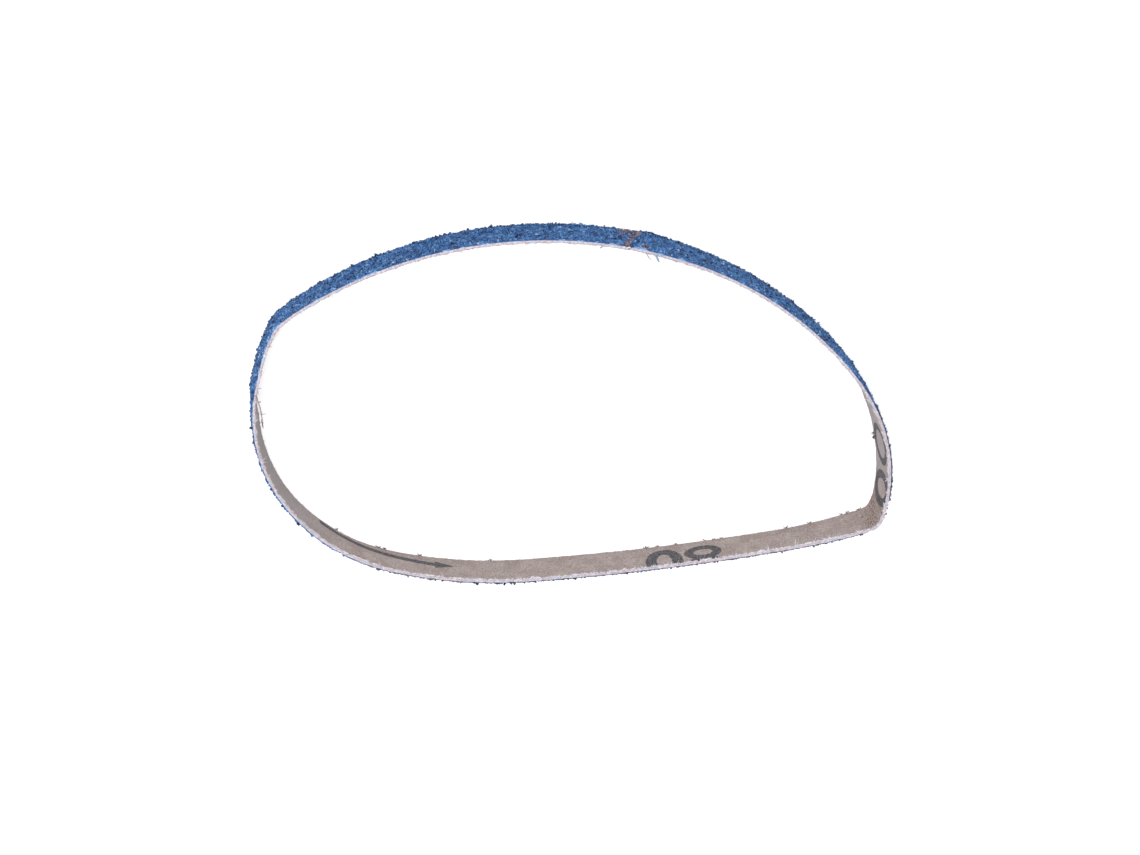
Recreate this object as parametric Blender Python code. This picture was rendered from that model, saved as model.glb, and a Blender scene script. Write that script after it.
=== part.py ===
"""A narrow endless sanding belt, standing on its edge in the creased loop that it keeps unheld.

Metres, with +Z up. The origin is at the middle of the loop's box, on the surface that it stands on.
"""
import math

import bmesh
import bpy
import numpy as np

BELT_LENGTH = 0.330             # round the inner face, along the upper edge
BELT_WIDTH = 0.010              # upright here, because the belt stands on its edge
CLOTH_THICKNESS = 0.00052
COAT_THICKNESS = 0.00026        # resin and grain, up to the lowest hollows between the grains
GRAIN_RELIEF = 0.00016          # how far the highest grains stand out of the coat
COAT_INSET = 0.00012            # from the cloth's cut edges to the coat's fullest edge
EDGE_CHIPS = 0.00010            # how much further the chipped edge of the coat goes back
BOND_GAP = 0.00004              # between the cloth and the coat

SEAM_WIDTH = 0.0010             # of the cut that the adhesive fills, along the belt
SEAM_SLANT = 0.0017             # how far the seam's top lies ahead of its foot, along the belt
SEAM_GAP = 0.00004              # from the adhesive to each end of the strip
SEAM_PROUD = 0.00012            # adhesive squeezed out above the coat
SLANT_REACH = 0.010             # the stretch beside the seam in which its slant dies away

# The loop's shape, anticlockwise from the seam: the length of each stretch in millimetres, the
# degrees that it turns, and how far out the lower edge stands from the upper one at its end.
FORM = (
    (69.3, 45.3, -0.4),         # long bow of the seam side
    (2.9, 7.0, -0.5),
    (3.2, 22.4, 0.0),           # open crease
    (7.3, 12.8, 0.2),
    (6.1, 2.7, 0.5),
    (8.0, 14.9, -0.5),
    (20.5, 33.3, 0.2),          # round end
    (17.0, 24.3, 0.2),
    (9.0, 12.1, 0.1),
    (28.0, 16.5, -0.1),
    (55.0, 6.1, 0.1),           # nearly straight side, across from the seam
    (15.0, 6.1, -0.4),
    (1.5, 5.1, -0.6),
    (2.0, 46.8, -0.8),          # sharp crease
    (1.7, 10.9, -0.7),
    (12.8, 22.6, -1.2),         # leaning end
    (8.5, 15.4, -0.9),
    (9.0, 13.5, -0.1),
    (25.0, 20.4, 0.0),
    (16.0, 13.9, 0.3),
    (8.6, 3.9, 0.7),            # the foot stands out most
    (3.6, 4.0, 0.2),            # back at the seam
)
SEAM_HEADING = -21.2            # degrees from +X, of the belt at the seam
FULL_TURN = 360.0
MILLIMETRE = 0.001

STATION_STEP = 0.0011           # longest step between the stations round the loop
STATION_TURN = 6.0              # most degrees between them
COAT_ROWS = 8                   # rows of facets up the coat's outer face
GRAIN_SEED = 7
SHARP_ANGLE = 40.0              # degrees between facets, from which their edge is kept sharp

CLOTH_COLOUR = (0.40, 0.335, 0.325, 1.0)
COAT_COLOUR = (0.070, 0.145, 0.315, 1.0)
ADHESIVE_COLOUR = (0.17, 0.095, 0.075, 1.0)


def clear_scene():
    """Remove what the scene starts with."""
    for item in list(bpy.data.objects):
        bpy.data.objects.remove(item, do_unlink=True)


def plain_material(name, colour, roughness):
    """A Principled BSDF of one colour."""
    material = bpy.data.materials.new(name)
    material.use_nodes = True
    shader = material.node_tree.nodes["Principled BSDF"]
    shader.inputs["Base Color"].default_value = colour
    shader.inputs["Roughness"].default_value = roughness
    shader.inputs["Metallic"].default_value = 0.0
    material.diffuse_color = colour
    return material


def walk_the_form():
    """Points of the inner face's upper edge, each with its lean, from one stretch to the next."""
    lengths = np.array([stretch[0] for stretch in FORM])
    lengths *= BELT_LENGTH / lengths.sum()
    turns = np.array([stretch[1] for stretch in FORM])
    turns += (FULL_TURN - turns.sum()) * lengths / BELT_LENGTH
    leans = np.array([stretch[2] for stretch in FORM]) * MILLIMETRE
    point = np.zeros(2)
    heading = math.radians(SEAM_HEADING)
    lean_before = leans[-1]
    points = [point]
    lean = [lean_before]
    for length, turn, lean_after in zip(lengths, turns, leans):
        steps = math.ceil(max(length / STATION_STEP, abs(turn) / STATION_TURN))
        half_turn = math.radians(turn) / steps / 2
        chord = length / steps * np.sinc(half_turn / math.pi)
        for step in range(1, steps + 1):
            heading += half_turn
            point = point + chord * np.array([math.cos(heading), math.sin(heading)])
            heading += half_turn
            points.append(point)
            lean.append(lean_before + (lean_after - lean_before) * step / steps)
        lean_before = lean_after
    return np.array(points), np.array(lean)


def outward_normals(points):
    """Mitred normals of a closed anticlockwise outline: an offset along them keeps its width."""
    edges = np.roll(points, -1, axis=0) - points
    edges /= np.linalg.norm(edges, axis=1)[:, None]
    after = np.stack([edges[:, 1], -edges[:, 0]], axis=1)
    before = np.roll(after, 1, axis=0)
    return (before + after) / (1 + (before * after).sum(axis=1))[:, None]


class Loop:
    """The closed path of the belt: where its inner face's upper edge runs, and how it leans."""

    def __init__(self):
        points, lean = walk_the_form()
        share = np.linspace(0, 1, len(points))[:, None]
        points = (points - share * (points[-1] - points[0]))[:-1]
        steps = np.linalg.norm(np.roll(points, -1, axis=0) - points, axis=1)
        points *= BELT_LENGTH / steps.sum()
        steps *= BELT_LENGTH / steps.sum()
        self.travel = np.concatenate([[0.0], np.cumsum(steps)[:-1]])
        self.lean = lean[:-1]
        self.normals = outward_normals(points)
        thickness = CLOTH_THICKNESS + BOND_GAP + COAT_THICKNESS
        upper = points + self.normals * thickness
        lower = upper + self.normals * self.lean[:, None]
        outline = np.concatenate([upper, lower])
        self.points = points - (outline.max(axis=0) + outline.min(axis=0)) / 2

    def at(self, values, travel):
        """A value of the path at this travel round the loop, from the seam."""
        return np.interp(travel, self.travel, values, period=BELT_LENGTH)

    def place(self, travel, height, offset):
        """The point at this height that stands this far out from the inner face."""
        shift = offset + self.at(self.lean, travel) * (1 - height / BELT_WIDTH)
        x = self.at(self.points[:, 0], travel) + self.at(self.normals[:, 0], travel) * shift
        y = self.at(self.points[:, 1], travel) + self.at(self.normals[:, 1], travel) * shift
        return (x, y, height)


def slanted(travel, height):
    """The travel of a point on an upright line, which leans along the belt beside the seam."""
    from_seam = min(travel % BELT_LENGTH, -travel % BELT_LENGTH)
    fade = max(0.0, 1 - from_seam / SLANT_REACH)
    return travel + SEAM_SLANT * (height / BELT_WIDTH - 0.5) * fade


def strip_stations(loop):
    """Travels of the sections of a strip that stops short of the seam at both its ends."""
    end = SEAM_WIDTH / 2
    clear = end + STATION_STEP / 4
    inner = [travel for travel in loop.travel if clear < travel < BELT_LENGTH - clear]
    return [end, *inner, BELT_LENGTH - end]


def sweep(name, sections, material, collection):
    """A closed solid through a row of sections, each a ring of as many points as the next.

    Every patch is split from its lower corner, so that facing walls keep their gap where they twist.
    """
    work = bmesh.new()
    rings = [[work.verts.new(point) for point in section] for section in sections]
    size = len(rings[0])
    for ring, following in zip(rings, rings[1:]):
        for i in range(size):
            low, high = sorted((i, (i + 1) % size), key=lambda corner: ring[corner].co.z)
            work.faces.new((ring[low], following[low], following[high]))
            work.faces.new((ring[low], following[high], ring[high]))
    work.faces.new(rings[0])
    work.faces.new(rings[-1])
    bmesh.ops.recalc_face_normals(work, faces=work.faces)
    mesh = bpy.data.meshes.new(name)
    work.to_mesh(mesh)
    work.free()
    mesh.materials.append(material)
    piece = bpy.data.objects.new(name, mesh)
    collection.objects.link(piece)
    return piece


def square_section(loop, travel, inner, outer):
    """The four corners of the strip's full width, between two offsets from the inner face."""
    corners = ((inner, 0.0), (outer, 0.0), (outer, BELT_WIDTH), (inner, BELT_WIDTH))
    return [loop.place(slanted(travel, height), height, offset) for offset, height in corners]


def add_cloth_backing(loop, collection):
    """The cloth strip, cut square at its edges."""
    sections = [square_section(loop, t, 0.0, CLOTH_THICKNESS) for t in strip_stations(loop)]
    material = plain_material("cloth", CLOTH_COLOUR, 0.9)
    return sweep("cloth_backing", sections, material, collection)


def coat_section(loop, travel, random):
    """A section of the coat: flat against the cloth, pebbled outside and chipped at its edges."""
    inner = CLOTH_THICKNESS + BOND_GAP
    low = COAT_INSET + EDGE_CHIPS * random.random()
    high = BELT_WIDTH - COAT_INSET - EDGE_CHIPS * random.random()
    section = [loop.place(slanted(travel, low), low, inner)]
    for row in range(COAT_ROWS + 1):
        height = low + (high - low) * row / COAT_ROWS
        relief = COAT_THICKNESS + GRAIN_RELIEF * random.random()
        section.append(loop.place(slanted(travel, height), height, inner + relief))
    section.append(loop.place(slanted(travel, high), high, inner))
    return section


def add_abrasive_coat(loop, collection):
    """The coat of grain and resin over the cloth's outer face."""
    random = np.random.default_rng(GRAIN_SEED)
    sections = [coat_section(loop, t, random) for t in strip_stations(loop)]
    material = plain_material("abrasive", COAT_COLOUR, 0.7)
    return sweep("abrasive_coat", sections, material, collection)


def add_splice_seam(loop, collection):
    """The slanted line of adhesive between the strip's two ends, from face to face."""
    half = SEAM_WIDTH / 2 - SEAM_GAP
    outer = CLOTH_THICKNESS + BOND_GAP + COAT_THICKNESS + SEAM_PROUD
    sections = [square_section(loop, t, 0.0, outer) for t in (-half, 0.0, half)]
    material = plain_material("adhesive", ADHESIVE_COLOUR, 0.5)
    return sweep("splice_seam", sections, material, collection)


def shade_round(piece):
    """Smooth shading round the loop, with the cut edges kept sharp."""
    piece.data.shade_smooth()
    piece.data.set_sharp_from_angle(angle=math.radians(SHARP_ANGLE))


def build_belt():
    """The whole belt, in a collection of its own."""
    clear_scene()
    collection = bpy.data.collections.new("sanding_belt")
    bpy.context.scene.collection.children.link(collection)
    loop = Loop()
    pieces = (
        add_cloth_backing(loop, collection),
        add_abrasive_coat(loop, collection),
        add_splice_seam(loop, collection),
    )
    for piece in pieces:
        shade_round(piece)


build_belt()
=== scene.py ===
"""Looks of the sanding belt: frayed woven cloth with worn print, sharp blue grain and a glued seam.

Metres, with +Z up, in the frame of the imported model. The belt stands on its edge. The photograph shows
it upside-down, so the camera is rolled by half a turn and a little more.
"""

import math

import bpy
import numpy as np
from mathutils import Matrix, Vector


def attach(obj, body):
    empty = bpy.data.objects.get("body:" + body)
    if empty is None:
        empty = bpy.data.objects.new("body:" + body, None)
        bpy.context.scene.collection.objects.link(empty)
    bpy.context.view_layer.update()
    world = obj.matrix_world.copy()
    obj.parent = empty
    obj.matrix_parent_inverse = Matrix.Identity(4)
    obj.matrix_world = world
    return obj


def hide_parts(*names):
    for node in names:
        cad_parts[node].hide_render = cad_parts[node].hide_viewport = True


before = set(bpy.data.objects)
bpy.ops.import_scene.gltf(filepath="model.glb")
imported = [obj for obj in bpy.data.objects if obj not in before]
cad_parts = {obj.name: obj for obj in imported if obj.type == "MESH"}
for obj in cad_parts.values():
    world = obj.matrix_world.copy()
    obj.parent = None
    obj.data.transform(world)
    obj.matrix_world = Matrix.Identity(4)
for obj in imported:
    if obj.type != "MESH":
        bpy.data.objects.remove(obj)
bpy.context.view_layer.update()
MM = 0.001
SEED = 80

# The belt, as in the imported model
BELT_LENGTH = 0.330
BELT_WIDTH = 0.010
CLOTH_THICKNESS = 0.00052
COAT_THICKNESS = 0.00026
BOND_GAP = 0.00004
COAT_FOOT = CLOTH_THICKNESS + BOND_GAP  # from the cloth's inner face to the coat's inner side
SEAM_WIDTH = 0.0010
SEAM_SLANT = 0.0017  # how far the seam's top lies ahead of its foot
SEAM_GAP = 0.00004
SLANT_REACH = 0.010
FORM = (  # length in mm, degrees turned, lean of the foot at its end
    (69.3, 45.3, -0.4), (2.9, 7.0, -0.5), (3.2, 22.4, 0.0), (7.3, 12.8, 0.2), (6.1, 2.7, 0.5),
    (8.0, 14.9, -0.5), (20.5, 33.3, 0.2), (17.0, 24.3, 0.2), (9.0, 12.1, 0.1), (28.0, 16.5, -0.1),
    (55.0, 6.1, 0.1), (15.0, 6.1, -0.4), (1.5, 5.1, -0.6), (2.0, 46.8, -0.8), (1.7, 10.9, -0.7),
    (12.8, 22.6, -1.2), (8.5, 15.4, -0.9), (9.0, 13.5, -0.1), (25.0, 20.4, 0.0), (16.0, 13.9, 0.3),
    (8.6, 3.9, 0.7), (3.6, 4.0, 0.2),
)
SEAM_HEADING = -21.2
FULL_TURN = 360.0
STATION_STEP = 0.00025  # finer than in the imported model, so that the bends are round
STATION_TURN = 2.0
SHARP_CREASE = 243.8  # travel of the sharp crease, in mm from the seam

# Camera, fitted to the photograph
CAMERA_ELEVATION = 67.973  # degrees above the floor
CAMERA_ROLL = 168.445
CAMERA_DISTANCE = 0.69922
CAMERA_LENS = 107.84  # mm
CAMERA_SENSOR = 36.0  # mm
CAMERA_NEAREST = 0.01
CAMERA_TARGET = Vector((0.000165, 0.006804, 0.0))

# Floor and light
FLOOR_REACH = 3.0
FLOOR_DROP = 0.00002  # below the belt's foot, so that the two don't share a plane
FLOOR_GLOW = 0.46  # which turns the white floor to pure white for the camera
SKY_STRENGTH = 0.62
LAMPS = (  # name, place, size, watts
    ("key", (0.08, -0.6, 0.9), 1.0, 9.0),
    ("fill", (0.5, 0.5, 0.8), 0.9, 4.0),
)

# Cloth
CLOTH_STEP = 0.00025  # along the belt and up its inner face
RIM_POINTS = 3  # between the rim's two corners
OUTER_ROWS = 8
FACE_UNEVENNESS = 0.000015
RIM_ROUGHNESS = 0.00011
YARN_PITCH = 0.00034

# Coat
BED_STEP = 0.00026
BED_ROWS = 38
BED_INSET = 0.00010
BED_RISE = 0.00017
GRAIN_PITCH = 0.000275  # mean distance between grains
GRAIN_RADIUS = 0.000150
GRAIN_LARGEST = 0.00036  # radius of the largest
GRAIN_INSET = 0.00014  # from the belt's edges to the outermost grains
GRAIN_RISE = 0.00019  # from the coat's inner side to the middle of a grain
FLAKED_MIDDLE = 242.4  # travel of the flaked coat's middle at the sharp crease, in mm
FLAKED_FOOT = 0.8  # how far the flaking reaches to each side at the foot, in mm
FLAKED_TOP = 4.6  # and along the upper edge
FLAKED_STAND = -0.00003  # the grains left there sit deeper
STRAY_RADIUS = 0.00032
STRAY_GRAINS = (  # dark grains left beside the crease, in mm: travel, height
    (247.2, 9.4),
    (243.8, 9.6),
    (243.0, 9.4),
)
CRACK = 22.6  # travel of a fine crack in the coat, in mm
EDGE_CHIPS = (  # chips in the coat's upper edge, in mm: travel, length, depth
    (74.0, 0.7, 0.9), (75.2, 0.9, 0.8), (79.6, 1.3, 1.2), (83.8, 0.7, 0.8), (86.6, 0.8, 1.3),
    (90.9, 0.9, 0.6), (93.6, 1.0, 0.9), (97.4, 1.4, 1.2), (102.5, 1.0, 0.6), (268.5, 1.4, 0.8),
    (281.0, 0.9, 0.7), (320.0, 0.8, 0.7), (327.9, 1.6, 1.0), (3.6, 0.9, 0.7), (14.2, 0.9, 0.5),
    (37.0, 1.0, 0.6), (52.0, 0.8, 0.6),
)

# Frayed edges
# Loose ends: spacing at the foot, lengths above and at the foot, how far they lean along, up and out
# above and at the foot, least and most thickness, taper, sides
STUBS = (
    0.00030, (0.00016, 0.00014), ((0.5, 0.8, 0.6), (0.5, 0.3, 0.8)), (0.00004, 0.00008),
    (1.0, 1.0, 0.8, 0.35), 5,
)
FIBRES = (
    0.00026, (0.00030, 0.00030), ((0.8, 0.6, 0.9), (0.8, 0.3, 0.9)), (0.000012, 0.000024),
    (1.0, 1.0, 0.8, 0.5), 3,
)
FRINGE_SPACING = 0.00070
FRINGE_LENGTH = 0.00034
FRINGE_THICKNESS = (0.00003, 0.00006)  # least and most
TUFT_YARNS = 4
FOOT_TUFTS = (  # travels of small tufts at the foot of the inner face, in mm
    128.0, 137.6, 138.9, 146.4, 161.0, 193.4, 195.9, 199.8, 205.8, 207.7, 209.4,
    223.1, 228.0, 235.0, 236.2, 238.8, 257.2, 258.3,
)
FOOT_TUFT_HAIRS = 7
YARN_KNOTS = 10
YARN_SIDES = 6
YARN_HAIRS = 3
LOOSE_YARNS = (  # thickness, shade, then travel, way inwards and height, in mm
    (0.44, 0.30, ((5.9, -0.2, 9.9), (6.1, 0.2, 9.9), (6.5, 0.65, 9.7))),
    (0.28, 0.60, ((327.3, 0.0, 9.9), (326.6, 0.7, 9.9), (325.9, 1.1, 9.9))),
    (0.60, 0.28, ((325.1, -0.4, 9.9), (325.0, 0.2, 9.9), (324.5, 0.8, 9.8), (324.1, 1.2, 9.6))),
    (0.85, 0.24, ((325.6, -0.3, 9.9), (324.7, -0.45, 10.0), (323.6, -0.35, 9.9))),
    (0.20, 0.55, ((323.3, -0.1, 9.9), (323.2, 0.35, 9.8))),
    (0.40, 0.58, ((321.8, -0.1, 9.95), (321.0, 0.15, 10.0), (320.4, -0.1, 9.95))),
    (0.20, 0.64, ((87.2, -0.1, 9.9), (87.3, 0.3, 10.0), (87.4, 0.7, 10.0))),
    (0.40, 0.64, (
        (89.0, -0.2, 9.9), (90.2, 0.3, 10.0), (91.5, 0.9, 10.0), (93.0, 1.15, 9.9), (95.0, 1.4, 9.8),
    )),
    (0.32, 0.90, ((94.0, 1.3, 9.9), (95.0, 1.4, 9.8), (96.0, 1.55, 9.7))),
    (0.20, 0.74, ((93.0, 1.1, 9.9), (92.8, 1.7, 10.0), (92.7, 2.2, 10.0))),
    (0.44, 0.58, ((88.8, -0.3, 10.0), (89.8, -0.1, 10.1), (90.6, 0.5, 10.0), (90.0, 0.9, 10.0))),
    (0.18, 0.72, ((258.6, -0.1, 0.3), (258.5, 0.3, 0.5), (258.2, 0.6, 0.4))),
    (0.40, 0.98, ((257.6, 0.0, 0.3), (257.3, 0.35, 0.4), (257.0, 0.3, 0.3))),
)

# Print on the inner face, in mm: centre, middle height, half width, half height, stroke
RINGS = (
    (196.7, 8.0, 3.9, 5.8, 2.35),
    (204.9, 5.7, 3.88, 3.25, 1.90),
    (204.9, 11.2, 3.5, 3.6, 1.90),
    (247.8, 5.5, 3.8, 5.0, 1.90),
    (257.6, 5.0, 4.7, 4.4, 1.60),
)
ARROW = ((124.5, 1.3), (150.0, 3.8))  # travel and height of its shaft's ends, in mm
ARROW_STROKE = 1.6
ARROW_HEAD = (149.4, 153.6, 1.7)  # travels of its foot and tip, and half its width

# Brown patches of adhesive on the coat, in mm: travel, height, radius
GLUE_PATCHES = (
    (1.6, 0.5, 0.95), (1.2, 2.0, 0.60), (2.3, 3.4, 0.40), (-0.8, 0.8, 0.80), (-0.8, 2.4, 0.75),
    (-0.2, 3.9, 0.60), (0.2, 5.8, 0.55), (0.6, 7.2, 0.50), (0.6, 8.8, 0.55), (0.8, 9.8, 0.45),
    (-3.0, 8.3, 0.55), (-2.2, 8.8, 0.30), (-2.4, 5.2, 0.30),
)
DARK_SPOT = (-3.0, 8.3, 0.45)  # a black speck there

# Adhesive in the seam
SEAM_ROWS = 60
SPILL = (0.00010, 0.00014)  # over the coat to each side: mean, and most more or less


class Loop:
    """The closed path of the belt: where its inner face's upper edge runs, and how it leans."""

    def __init__(self):
        points, lean = walk_the_form()
        share = np.linspace(0, 1, len(points))[:, None]
        points = (points - share * (points[-1] - points[0]))[:-1]
        steps = np.linalg.norm(np.roll(points, -1, axis=0) - points, axis=1)
        points *= BELT_LENGTH / steps.sum()
        steps *= BELT_LENGTH / steps.sum()
        self.travel = np.concatenate([[0.0], np.cumsum(steps)[:-1]])
        self.lean = lean[:-1]
        self.normals = outward_normals(points)
        upper = points + self.normals * (COAT_FOOT + COAT_THICKNESS)
        lower = upper + self.normals * self.lean[:, None]
        outline = np.concatenate([upper, lower])
        self.points = points - (outline.max(axis=0) + outline.min(axis=0)) / 2

    def at(self, values, travel):
        """A value of the path at this travel round the loop, from the seam."""
        return np.interp(travel, self.travel, values, period=BELT_LENGTH)

    def place(self, travel, height, offset):
        """Points at these heights that stand this far out from the inner face."""
        travel, height, offset = np.broadcast_arrays(travel, height, offset)
        shift = offset + self.at(self.lean, travel) * (1 - height / BELT_WIDTH)
        x = self.at(self.points[:, 0], travel) + self.at(self.normals[:, 0], travel) * shift
        y = self.at(self.points[:, 1], travel) + self.at(self.normals[:, 1], travel) * shift
        return np.stack([x, y, height], axis=-1)


def walk_the_form():
    """Points of the inner face's upper edge, each with its lean."""
    lengths = np.array([stretch[0] for stretch in FORM])
    lengths *= BELT_LENGTH / lengths.sum()
    turns = np.array([stretch[1] for stretch in FORM])
    turns += (FULL_TURN - turns.sum()) * lengths / BELT_LENGTH
    leans = np.array([stretch[2] for stretch in FORM]) * MM
    point = np.zeros(2)
    heading = math.radians(SEAM_HEADING)
    lean_before = leans[-1]
    points = [point]
    lean = [lean_before]
    for length, turn, lean_after in zip(lengths, turns, leans):
        steps = math.ceil(max(length / STATION_STEP, abs(turn) / STATION_TURN))
        half_turn = math.radians(turn) / steps / 2
        chord = length / steps * np.sinc(half_turn / math.pi)
        for step in range(1, steps + 1):
            heading += half_turn
            point = point + chord * np.array([math.cos(heading), math.sin(heading)])
            heading += half_turn
            points.append(point)
            lean.append(lean_before + (lean_after - lean_before) * step / steps)
        lean_before = lean_after
    return np.array(points), np.array(lean)


def outward_normals(points):
    """Mitred normals of a closed anticlockwise outline: an offset along them keeps its width."""
    edges = np.roll(points, -1, axis=0) - points
    edges /= np.linalg.norm(edges, axis=1)[:, None]
    after = np.stack([edges[:, 1], -edges[:, 0]], axis=1)
    before = np.roll(after, 1, axis=0)
    return (before + after) / (1 + (before * after).sum(axis=1))[:, None]


def slanted(travel, height):
    """The travel of points on an upright line, which leans along the belt beside the seam."""
    from_seam = np.minimum(np.mod(travel, BELT_LENGTH), np.mod(-travel, BELT_LENGTH))
    fade = np.maximum(0.0, 1 - from_seam / SLANT_REACH)
    return travel + SEAM_SLANT * (height / BELT_WIDTH - 0.5) * fade


class Lumps:
    """Smooth random values from -1 to 1 over the belt, in lumps of about one size."""

    def __init__(self, random, size):
        self.size = size
        self.rows = math.ceil(2 * BELT_WIDTH / size) + 3
        self.lattice = random.uniform(-1, 1, (math.ceil(BELT_LENGTH / size) + 2, self.rows))

    def __call__(self, travel, height):
        u = np.mod(travel, BELT_LENGTH) / self.size
        v = np.clip((height + BELT_WIDTH / 2) / self.size, 0, self.rows - 2)
        column = np.floor(u).astype(int)
        row = np.floor(v).astype(int)
        across = smooth_step(u - column)
        up = smooth_step(v - row)
        low = self.lattice[column, row] * (1 - across) + self.lattice[column + 1, row] * across
        high = self.lattice[column, row + 1] * (1 - across) + self.lattice[column + 1, row + 1] * across
        return low * (1 - up) + high * up


def smooth_step(share):
    """Eases a share from 0 to 1."""
    share = np.clip(share, 0, 1)
    return share * share * (3 - 2 * share)


def add_piece(name, points, faces, materials, replaced=()):
    """A mesh piece that rides on the belt's body."""
    mesh = bpy.data.meshes.new(name)
    mesh.from_pydata(points.tolist(), [], faces)
    for material in materials:
        mesh.materials.append(material)
    piece = bpy.data.objects.new(name, mesh)
    bpy.context.scene.collection.objects.link(piece)
    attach(piece, "root")
    if replaced:
        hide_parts(*replaced)
    return piece


def keep_values(piece, name, values):
    """A value for each vertex, for the piece's material to read."""
    layer = piece.data.attributes.new(name, "FLOAT", "POINT")
    layer.data.foreach_set("value", np.ascontiguousarray(values, dtype=np.float32).ravel())


def keep_strip_map(piece, travel, height):
    """A UV map in millimetres along and up the belt."""
    layer = piece.data.uv_layers.new(name="Strip")
    corners = np.zeros(len(piece.data.loops), dtype=np.int32)
    piece.data.loops.foreach_get("vertex_index", corners)
    flat = np.stack([travel.ravel(), height.ravel()], axis=1) / MM
    layer.data.foreach_set("uv", flat[corners].astype(np.float32).ravel())


def tube_faces(sections, ring):
    """Faces of a closed solid through a row of sections of as many points each."""
    start = np.arange(sections - 1)[:, None] * ring
    here = np.arange(ring)[None, :]
    after = (here + 1) % ring
    quads = np.stack([start + here, start + ring + here, start + ring + after, start + after], axis=-1)
    faces = quads.reshape(-1, 4).tolist()
    faces.append(list(range(ring)))
    faces.append(list(range(sections * ring - 1, (sections - 1) * ring - 1, -1)))
    return faces


def strip_travels(step):
    """Even stations from one side of the seam round to the other."""
    end = SEAM_WIDTH / 2
    return np.linspace(end, BELT_LENGTH - end, math.ceil((BELT_LENGTH - SEAM_WIDTH) / step) + 1)


class Surface:
    """A Principled material, with short calls for the nodes that vary it."""

    def __init__(self, name, roughness, specular):
        self.material = bpy.data.materials.new(name)
        self.material.use_nodes = True
        self.nodes = self.material.node_tree.nodes
        self.links = self.material.node_tree.links
        self.shader = self.nodes["Principled BSDF"]
        self.shader.inputs["Roughness"].default_value = roughness
        self.shader.inputs["Specular IOR Level"].default_value = specular
        self.coordinates = self.nodes.new("ShaderNodeTexCoord").outputs["Object"]

    def feed(self, socket, value):
        """Links an output to a socket, or sets the socket to a plain value."""
        if isinstance(value, bpy.types.NodeSocket):
            self.links.new(value, socket)
        else:
            socket.default_value = value

    def noise(self, size, detail=2.0):
        """Noise from 0 to 1 in lumps of about this size in metres."""
        node = self.nodes.new("ShaderNodeTexNoise")
        node.inputs["Scale"].default_value = 1 / size
        node.inputs["Detail"].default_value = detail
        self.links.new(self.coordinates, node.inputs["Vector"])
        return node.outputs["Fac"]

    def stored(self, name):
        """A value kept on the mesh's vertices."""
        node = self.nodes.new("ShaderNodeAttribute")
        node.attribute_name = name
        return node.outputs["Fac"]

    def strip_axes(self):
        """Millimetres along the belt and up it."""
        source = self.nodes.new("ShaderNodeUVMap")
        source.uv_map = "Strip"
        split = self.nodes.new("ShaderNodeSeparateXYZ")
        self.links.new(source.outputs["UV"], split.inputs["Vector"])
        return split.outputs["X"], split.outputs["Y"]

    def near(self, point, inner, outer):
        """1 within the inner distance of a point, in metres, and 0 beyond the outer one."""
        node = self.nodes.new("ShaderNodeVectorMath")
        node.operation = "DISTANCE"
        self.links.new(self.coordinates, node.inputs[0])
        node.inputs[1].default_value = point
        return self.between(node.outputs["Value"], outer, inner)

    def math(self, operation, first, second=0.0):
        """One of Blender's math operations on two values."""
        node = self.nodes.new("ShaderNodeMath")
        node.operation = operation
        self.feed(node.inputs[0], first)
        self.feed(node.inputs[1], second)
        return node.outputs["Value"]

    def between(self, value, low, high):
        """0 where the value is at low, 1 at high, and eased between them."""
        node = self.nodes.new("ShaderNodeMapRange")
        node.interpolation_type = "SMOOTHSTEP"
        self.feed(node.inputs["Value"], value)
        self.feed(node.inputs["From Min"], low)
        self.feed(node.inputs["From Max"], high)
        return node.outputs["Result"]

    def times(self, first, second):
        """The product of two values."""
        return self.math("MULTIPLY", first, second)

    def patchy(self, size, detail, low, high):
        """Patches of noise: 0 where it is at low and 1 where it is at high."""
        return self.between(self.noise(size, detail), low, high)

    def mix(self, share, first, second):
        """A colour that goes from the first to the second."""
        node = self.nodes.new("ShaderNodeMix")
        node.data_type = "RGBA"
        self.feed(node.inputs["Factor"], share)
        self.feed(node.inputs["A"], first)
        self.feed(node.inputs["B"], second)
        return node.outputs["Result"]

    def ramp(self, value, stops):
        """A colour for each value, from a row of places and colours."""
        node = self.nodes.new("ShaderNodeValToRGB")
        band = node.color_ramp
        for place, colour in stops[1:-1]:
            band.elements.new(place).color = colour
        band.elements[0].position, band.elements[0].color = stops[0]
        band.elements[-1].position, band.elements[-1].color = stops[-1]
        self.links.new(value, node.inputs["Fac"])
        return node.outputs["Color"]

    def finish(self, colour, relief=None, depth=0.0):
        """Joins the colour, and the bumps of this depth in metres, to the shader."""
        self.feed(self.shader.inputs["Base Color"], colour)
        if relief is not None:
            bump = self.nodes.new("ShaderNodeBump")
            bump.inputs["Distance"].default_value = depth
            self.links.new(relief, bump.inputs["Height"])
            self.links.new(bump.outputs["Normal"], self.shader.inputs["Normal"])
        return self.material


def shade(red, green, blue):
    """A linear colour from the 0 to 255 values that a picture shows."""
    return tuple((channel / 255) ** 2.2 for channel in (red, green, blue)) + (1.0,)


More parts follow.
